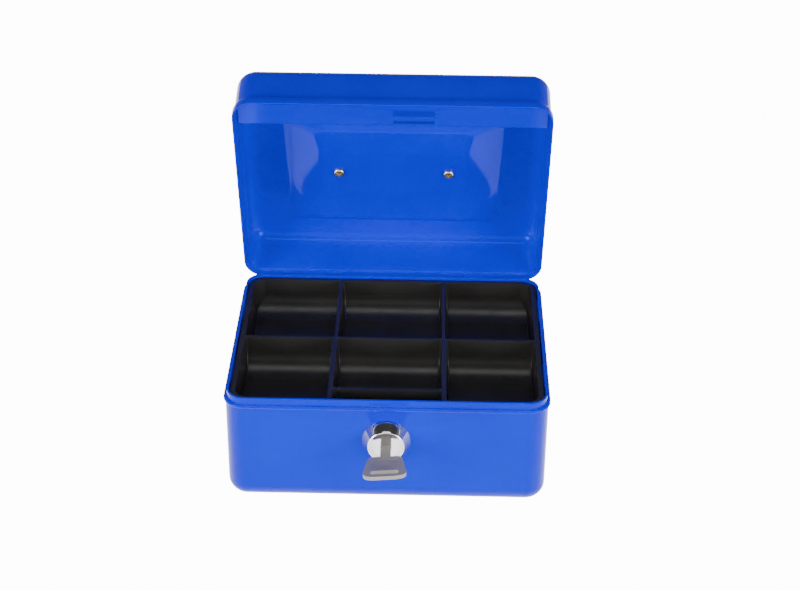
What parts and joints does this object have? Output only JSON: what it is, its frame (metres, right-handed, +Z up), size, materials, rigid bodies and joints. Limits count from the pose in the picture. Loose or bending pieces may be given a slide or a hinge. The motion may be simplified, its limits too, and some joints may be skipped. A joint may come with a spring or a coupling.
{
  "type": "cash box",
  "caption": "Blue steel cash box with rounded corners, lid held open by rear hinges, black divided coin tray, cam lock with key and a folding carry handle.",
  "frame": {"origin": "centre of the base's underside", "axes": "+Z up, -Y toward the lock and key, +X to the right seen from the front; modelled with the lid open"},
  "size_m": [0.154, 0.1743, 0.1751],
  "materials": {
    "blue_paint": "gloss powder coat with light orange peel",
    "chrome": "bright plate",
    "steel": "zinc plated",
    "key_nickel": "nickel plated, satin",
    "brass": "plain brass",
    "black_plastic": "moulded gloss"
  },
  "bodies": {
    "box": {"base_shell": "blue_paint", "hinge_leaf_base_left": "blue_paint", "hinge_leaf_base_right": "blue_paint", "hinge_pin_left": "steel", "hinge_pin_right": "steel", "lock_housing": "chrome", "lock_washer": "steel", "lock_nut": "steel"},
    "lid": {"lid_shell": "blue_paint", "keeper_strip": "blue_paint", "hinge_leaf_lid_left": "blue_paint", "hinge_leaf_lid_right": "blue_paint", "handle_post_left": "chrome", "handle_post_right": "chrome", "handle_screw_left": "brass", "handle_screw_right": "brass"},
    "handle": {"carry_handle": "chrome"},
    "tray": {"coin_tray": "black_plastic"},
    "lock": {"lock_plug": "chrome", "lock_wafers": "brass", "wafer_springs": "steel", "lock_cam": "steel", "cam_screw": "steel"},
    "key": {"key": "key_nickel"}
  },
  "joints": [
    {"name": "lid_hinge", "type": "hinge", "parent": "box", "child": "lid", "pos_m": [0, 0.0604, 0.0544], "axis": [-1, 0, 0], "range_deg": [-73.1, 20]},
    {"name": "handle_swing", "type": "hinge", "parent": "lid", "child": "handle", "pos_m": [0, 0.06972, 0.11524], "axis": [1, 0, 0], "range_deg": [0, 180]},
    {"name": "tray_lift", "type": "slide", "parent": "box", "child": "tray", "axis": [0, 0, 1], "range_m": [0, 0.07]},
    {"name": "lock_turn", "type": "hinge", "parent": "box", "child": "lock", "pos_m": [0, -0.0565, 0.0355], "axis": [0, -1, 0], "range_deg": [-5, 85]},
    {"name": "key_pull", "type": "slide", "parent": "lock", "child": "key", "axis": [0, -1, 0], "range_m": [0, 0.04]}
  ]
}
